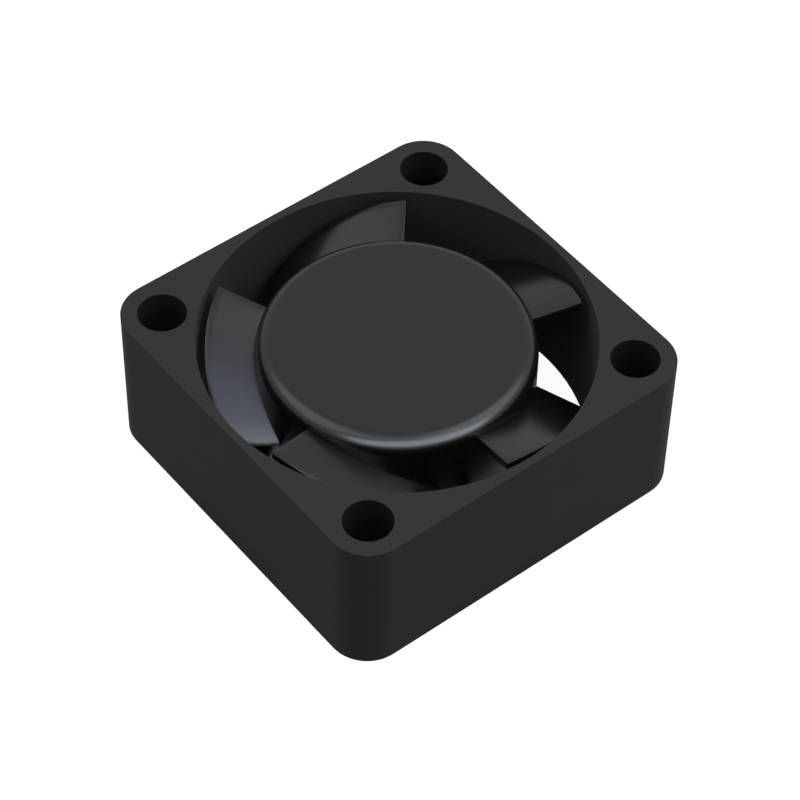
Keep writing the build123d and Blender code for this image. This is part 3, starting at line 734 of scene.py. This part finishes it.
# The darker black on the hole walls is painted shade.
frame_mesh.materials.append(hole_shade_plastic)
shaded_hole_walls = [face for face in frame_mesh.polygons if is_hole_wall(face)]
for face in shaded_hole_walls:
    face.material_index = 1
print("moulded_frame: faces", len(frame_mesh.polygons), "in the hole walls:", len(shaded_hole_walls))

# %% [markdown]
# ## The coils
# The solids stand for the four windings as plain blocks. A real winding is one long wire laid
# in turns and layers, each layer shifted by half a turn so that it rests in the grooves of the
# one below. A second node tree lays it: a rectangle of curve for each turn of each layer, with
# its corners rounded, and then a thin round section swept along all of them. Every size is an
# input of the tree, so another motor's coil needs only other numbers.

# %% A node tree that winds a coil
def coil_tree():
    """Geometry nodes: turns of wire around the X axis, from Start outwards, in hexagonal layers."""
    tree = bpy.data.node_groups.new("wound_coil", "GeometryNodeTree")
    interface = tree.interface
    interface.new_socket("Geometry", in_out="INPUT", socket_type="NodeSocketGeometry")
    for name in ("Turns", "Layers"):
        interface.new_socket(name, in_out="INPUT", socket_type="NodeSocketInt")
    for name in ("Wire", "Start", "Length", "Thickness", "Opening Width", "Opening Height", "Middle",
                 "Corner Growth"):
        interface.new_socket(name, in_out="INPUT", socket_type="NodeSocketFloat")
    interface.new_socket("Material", in_out="INPUT", socket_type="NodeSocketMaterial")
    interface.new_socket("Geometry", in_out="OUTPUT", socket_type="NodeSocketGeometry")
    add, link = tree.nodes.new, tree.links.new
    given, result = add("NodeGroupInput"), add("NodeGroupOutput")
    size = given.outputs

    def calc(operation, *terms):
        """The result of one sum in this tree."""
        return calculate(tree, operation, *terms)

    def vector(**parts):
        """A vector from sockets for some of its parts."""
        node = add("ShaderNodeCombineXYZ")
        for axis, value in parts.items():
            link(value, node.inputs[axis])
        return node.outputs[0]

    points = add("GeometryNodeMeshLine")
    points.inputs["Offset"].default_value = (0, 0, 0)
    link(calc("MULTIPLY", size["Turns"], size["Layers"]), points.inputs["Count"])
    index = add("GeometryNodeInputIndex").outputs[0]
    layer = calc("FLOOR", calc("DIVIDE", calc("ADD", index, 0.5), size["Turns"]))
    turn = calc("SUBTRACT", index, calc("MULTIPLY", layer, size["Turns"]))
    half_turn = calc("MULTIPLY", calc("MODULO", layer, 2), 0.5)
    free_length = calc("SUBTRACT", size["Length"], size["Wire"])
    pitch = calc("DIVIDE", free_length, calc("SUBTRACT", size["Turns"], 0.5))
    first = calc("MULTIPLY_ADD", size["Wire"], 0.5, size["Start"])
    along = calc("MULTIPLY_ADD", calc("ADD", turn, half_turn), pitch, first)
    free_thickness = calc("SUBTRACT", size["Thickness"], size["Wire"])
    rise = calc("DIVIDE", free_thickness, calc("SUBTRACT", size["Layers"], 1))
    outwards = calc("MULTIPLY_ADD", calc("MULTIPLY", rise, layer), 2, size["Wire"])
    placed = add("GeometryNodeSetPosition")
    link(points.outputs["Mesh"], placed.inputs["Geometry"])
    link(vector(X=along, Z=size["Middle"]), placed.inputs["Position"])

    square = add("GeometryNodeCurvePrimitiveQuadrilateral")
    square.inputs["Width"].default_value = square.inputs["Height"].default_value = 1
    turns = add("GeometryNodeInstanceOnPoints")
    link(placed.outputs[0], turns.inputs["Points"])
    link(square.outputs[0], turns.inputs["Instance"])
    turns.inputs["Rotation"].default_value = (pi / 2, 0, pi / 2)
    width = calc("ADD", size["Opening Width"], outwards)
    height = calc("ADD", size["Opening Height"], outwards)
    link(vector(X=width, Y=height), turns.inputs["Scale"])
    real = add("GeometryNodeRealizeInstances")
    link(turns.outputs[0], real.inputs[0])

    place = add("ShaderNodeSeparateXYZ")
    link(add("GeometryNodeInputPosition").outputs[0], place.inputs[0])
    first_width = calc("ADD", size["Opening Width"], size["Wire"])
    past_first = calc("MULTIPLY_ADD", first_width, -0.5, calc("ABSOLUTE", place.outputs["Y"]))
    corners = add("GeometryNodeFilletCurve")
    corners.mode = "POLY"
    corners.inputs["Count"].default_value = 2
    link(real.outputs[0], corners.inputs[0])
    link(calc("MULTIPLY_ADD", past_first, size["Corner Growth"], size["Wire"]), corners.inputs["Radius"])

    section = add("GeometryNodeCurvePrimitiveCircle")
    section.inputs["Resolution"].default_value = 5
    link(calc("MULTIPLY", size["Wire"], 0.5), section.inputs["Radius"])
    wire = add("GeometryNodeCurveToMesh")
    link(corners.outputs[0], wire.inputs["Curve"])
    link(section.outputs[0], wire.inputs["Profile Curve"])
    paint = add("GeometryNodeSetMaterial")
    link(wire.outputs[0], paint.inputs["Geometry"])
    link(size["Material"], paint.inputs["Material"])
    link(paint.outputs[0], result.inputs[0])
    return tree


wound_coil = coil_tree()
print("tree inputs:", [item.name for item in inputs_of(wound_coil)])

# %% Four wound coils
COIL_COUNT = 4

winding = grown("winding", bpy.data.meshes.new("start"), wound_coil, Turns=12, Layers=8, Wire=0.12 * MM,
                Start=3.68 * MM, Length=1.517 * MM, Thickness=0.9 * MM, Opening_Width=1.62 * MM,
                Opening_Height=3.62 * MM, Middle=5.2 * MM, Corner_Growth=0.4,
                Material=finishes["winding_wire"])
print("one coil: open edges", tidy_mesh(winding, 80), "faces", len(winding.polygons))
for n in range(COIL_COUNT):
    coil = winding.copy()
    coil.transform(Matrix.Rotation(2 * pi * n / COIL_COUNT, 4, "Z"))
    hand_over(f"wound_coil_{n + 1}", coil, finishes["winding_wire"], "frame", "winding_wire", f"coil_{n + 1}")

# %% [markdown]
# ## Solder joints
# Molten solder climbs the pin and dries as a hollow cone. The outline of that cone is turned
# about an upright line, moved out to a pin, and the first node tree sets it at all four.

# %% Solder fillets
BOARD_BOTTOM, SOLDER_BOTTOM = 1.4, 1.12
SOLDER_RADIUS, SOLDER_TIP_RADIUS, SOLDER_BORE_RADIUS = 0.42, 0.24, 0.14
PIN_CIRCLE, PIN_COUNT = 4.425, 4
HOLLOW_STEPS = 8

cone = [(SOLDER_BORE_RADIUS, SOLDER_BOTTOM), (SOLDER_BORE_RADIUS, BOARD_BOTTOM)]
for n in range(HOLLOW_STEPS + 1):
    lean = pi / 2 * (1 + n / HOLLOW_STEPS)
    cone.append((SOLDER_RADIUS + (SOLDER_RADIUS - SOLDER_TIP_RADIUS) * cos(lean),
                 SOLDER_BOTTOM + (BOARD_BOTTOM - SOLDER_BOTTOM) * sin(lean)))
fillet = turned_mesh("solder_fillet", cone, 24)
fillet.transform(Matrix.Translation((PIN_CIRCLE * MM, 0, 0)))
fillets = grown("solder_fillets", fillet, copies_around_axis, Count=PIN_COUNT, First_Angle=pi / PIN_COUNT,
                Material=finishes["solder"])
print("solder: open edges", tidy_mesh(fillets), "faces", len(fillets.polygons))
hand_over("solder_fillets", fillets, finishes["solder"], "frame", "solder", "solder_joints")
